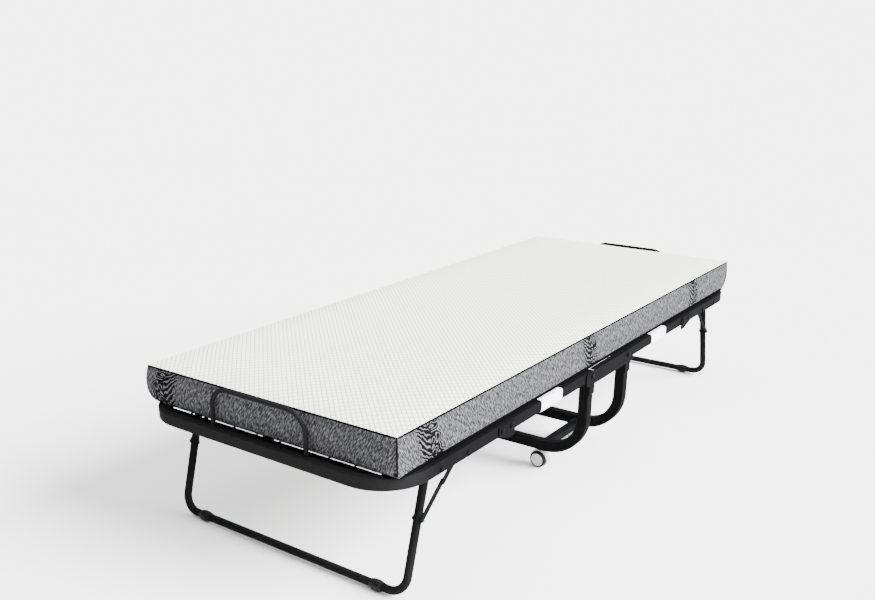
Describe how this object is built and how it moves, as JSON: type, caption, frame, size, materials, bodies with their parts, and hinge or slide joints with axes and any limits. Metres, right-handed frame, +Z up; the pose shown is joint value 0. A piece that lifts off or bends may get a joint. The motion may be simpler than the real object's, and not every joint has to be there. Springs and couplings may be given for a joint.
{
  "type": "rollaway bed",
  "caption": "Fold-in-half rollaway bed: padded mattress on two sprung-wire decks, folding leg hoops, and a low hinge base on four twin-wheel casters.",
  "frame": {"origin": "on the floor under the middle of the open bed", "axes": "+X along the bed to the head end, +Y across to the far side, +Z up"},
  "size_m": [1.9, 0.7752, 0.405],
  "materials": {
    "painted_steel": "black powder coat, semi-gloss, fine orange peel",
    "bolt_steel": "blackened steel fasteners, satin",
    "black_plastic": "moulded black plastic, satin",
    "pale_plastic": "pale grey moulded hubs and hoods",
    "caster_tyre": "black soft tread",
    "white_elastic": "white ribbed elastic webbing",
    "mattress_fabric": "off-white quilted knit top with heathered grey side bands"
  },
  "bodies": {
    "base": {"base_hoop_foot": "painted_steel", "base_hoop_head": "painted_steel", "base_tie_near": "painted_steel", "base_tie_far": "painted_steel", "link_plate_near": "painted_steel", "link_plate_far": "painted_steel", "deck_hinge_bolts": "bolt_steel", "deck_hinge_nuts": "bolt_steel", "caster_sockets": "black_plastic", "mattress_fold": "mattress_fabric"},
    "foot_deck": {"foot_end_frame": "painted_steel", "foot_rail_near": "painted_steel", "foot_rail_far": "painted_steel", "foot_rail_plugs": "black_plastic", "foot_splice_brackets": "painted_steel", "foot_deck_bolts": "bolt_steel", "foot_middle_crossbars": "painted_steel", "foot_hinge_crossbar": "painted_steel", "foot_spine_bar": "painted_steel", "foot_wire_mesh": "painted_steel", "foot_retainer_loop": "painted_steel", "foot_elastic_straps": "white_elastic", "foot_mattress": "mattress_fabric"},
    "foot_leg": {"foot_leg_frame": "painted_steel", "foot_leg_sleeves": "black_plastic"},
    "foot_lower_brace": {"foot_lower_braces": "painted_steel"},
    "foot_upper_brace": {"foot_upper_braces": "painted_steel"},
    "head_deck": {"head_end_frame": "painted_steel", "head_rail_near": "painted_steel", "head_rail_far": "painted_steel", "head_rail_plugs": "black_plastic", "head_splice_brackets": "painted_steel", "head_deck_bolts": "bolt_steel", "head_middle_crossbars": "painted_steel", "head_hinge_crossbar": "painted_steel", "head_spine_bar": "painted_steel", "head_wire_mesh": "painted_steel", "head_retainer_loop": "painted_steel", "head_elastic_straps": "white_elastic", "head_mattress": "mattress_fabric"},
    "head_leg": {"head_leg_frame": "painted_steel", "head_leg_sleeves": "black_plastic"},
    "head_lower_brace": {"head_lower_braces": "painted_steel"},
    "head_upper_brace": {"head_upper_braces": "painted_steel"},
    "foot_near_caster": {"caster_foot_near_pins": "bolt_steel", "caster_foot_near_hood": "pale_plastic"},
    "foot_near_wheels": {"caster_foot_near_tyres": "caster_tyre", "caster_foot_near_hubs": "pale_plastic"},
    "foot_far_caster": {"caster_foot_far_pins": "bolt_steel", "caster_foot_far_hood": "pale_plastic"},
    "foot_far_wheels": {"caster_foot_far_tyres": "caster_tyre", "caster_foot_far_hubs": "pale_plastic"},
    "head_near_caster": {"caster_head_near_pins": "bolt_steel", "caster_head_near_hood": "pale_plastic"},
    "head_near_wheels": {"caster_head_near_tyres": "caster_tyre", "caster_head_near_hubs": "pale_plastic"},
    "head_far_caster": {"caster_head_far_pins": "bolt_steel", "caster_head_far_hood": "pale_plastic"},
    "head_far_wheels": {"caster_head_far_tyres": "caster_tyre", "caster_head_far_hubs": "pale_plastic"}
  },
  "joints": [
    {"name": "foot_deck_fold", "type": "hinge", "parent": "base", "child": "foot_deck", "pos_m": [-0.11, 0, 0.293], "axis": [0, 1, 0], "range_deg": [0, 90], "deforming": ["mattress_fold"]},
    {"name": "foot_leg_fold", "type": "hinge", "parent": "foot_deck", "child": "foot_leg", "pos_m": [-0.79, 0, 0.288], "axis": [0, -1, 0], "range_deg": [0, 106.22]},
    {"name": "foot_upper_brace_turn", "type": "hinge", "parent": "foot_deck", "child": "foot_upper_brace", "pos_m": [-0.69, 0, 0.288], "axis": [0, 1, 0], "range_deg": [0, 40.12]},
    {"name": "foot_lower_brace_turn", "type": "hinge", "parent": "foot_leg", "child": "foot_lower_brace", "pos_m": [-0.8224, 0, 0.17662], "axis": [0, -1, 0], "range_deg": [0, 33.76]},
    {"name": "head_deck_fold", "type": "hinge", "parent": "base", "child": "head_deck", "pos_m": [0.11, 0, 0.293], "axis": [0, -1, 0], "range_deg": [0, 90], "deforming": ["mattress_fold"]},
    {"name": "head_leg_fold", "type": "hinge", "parent": "head_deck", "child": "head_leg", "pos_m": [0.79, 0, 0.288], "axis": [0, 1, 0], "range_deg": [0, 106.22]},
    {"name": "head_upper_brace_turn", "type": "hinge", "parent": "head_deck", "child": "head_upper_brace", "pos_m": [0.69, 0, 0.288], "axis": [0, -1, 0], "range_deg": [0, 40.12]},
    {"name": "head_lower_brace_turn", "type": "hinge", "parent": "head_leg", "child": "head_lower_brace", "pos_m": [0.8224, 0, 0.17662], "axis": [0, 1, 0], "range_deg": [0, 33.76]},
    {"name": "foot_near_caster_swivel", "type": "hinge", "parent": "base", "child": "foot_near_caster", "pos_m": [-0.11, -0.253, 0.05], "axis": [0, 0, 1], "continuous": true},
    {"name": "foot_near_wheel_spin", "type": "hinge", "parent": "foot_near_caster", "child": "foot_near_wheels", "pos_m": [-0.11, -0.241, 0.023], "axis": [1, 0, 0], "continuous": true},
    {"name": "foot_far_caster_swivel", "type": "hinge", "parent": "base", "child": "foot_far_caster", "pos_m": [-0.11, 0.253, 0.05], "axis": [0, 0, 1], "continuous": true},
    {"name": "foot_far_wheel_spin", "type": "hinge", "parent": "foot_far_caster", "child": "foot_far_wheels", "pos_m": [-0.11, 0.265, 0.023], "axis": [1, 0, 0], "continuous": true},
    {"name": "head_near_caster_swivel", "type": "hinge", "parent": "base", "child": "head_near_caster", "pos_m": [0.11, -0.253, 0.05], "axis": [0, 0, 1], "continuous": true},
    {"name": "head_near_wheel_spin", "type": "hinge", "parent": "head_near_caster", "child": "head_near_wheels", "pos_m": [0.11, -0.241, 0.023], "axis": [1, 0, 0], "continuous": true},
    {"name": "head_far_caster_swivel", "type": "hinge", "parent": "base", "child": "head_far_caster", "pos_m": [0.11, 0.253, 0.05], "axis": [0, 0, 1], "continuous": true},
    {"name": "head_far_wheel_spin", "type": "hinge", "parent": "head_far_caster", "child": "head_far_wheels", "pos_m": [0.11, 0.265, 0.023], "axis": [1, 0, 0], "continuous": true}
  ],
  "couplings": [
    {"joint": "foot_upper_brace_turn", "follows": "foot_leg_fold", "ratio": 0.37725},
    {"joint": "foot_lower_brace_turn", "follows": "foot_leg_fold", "ratio": 0.31734},
    {"joint": "head_upper_brace_turn", "follows": "head_leg_fold", "ratio": 0.37725},
    {"joint": "head_lower_brace_turn", "follows": "head_leg_fold", "ratio": 0.31734}
  ]
}
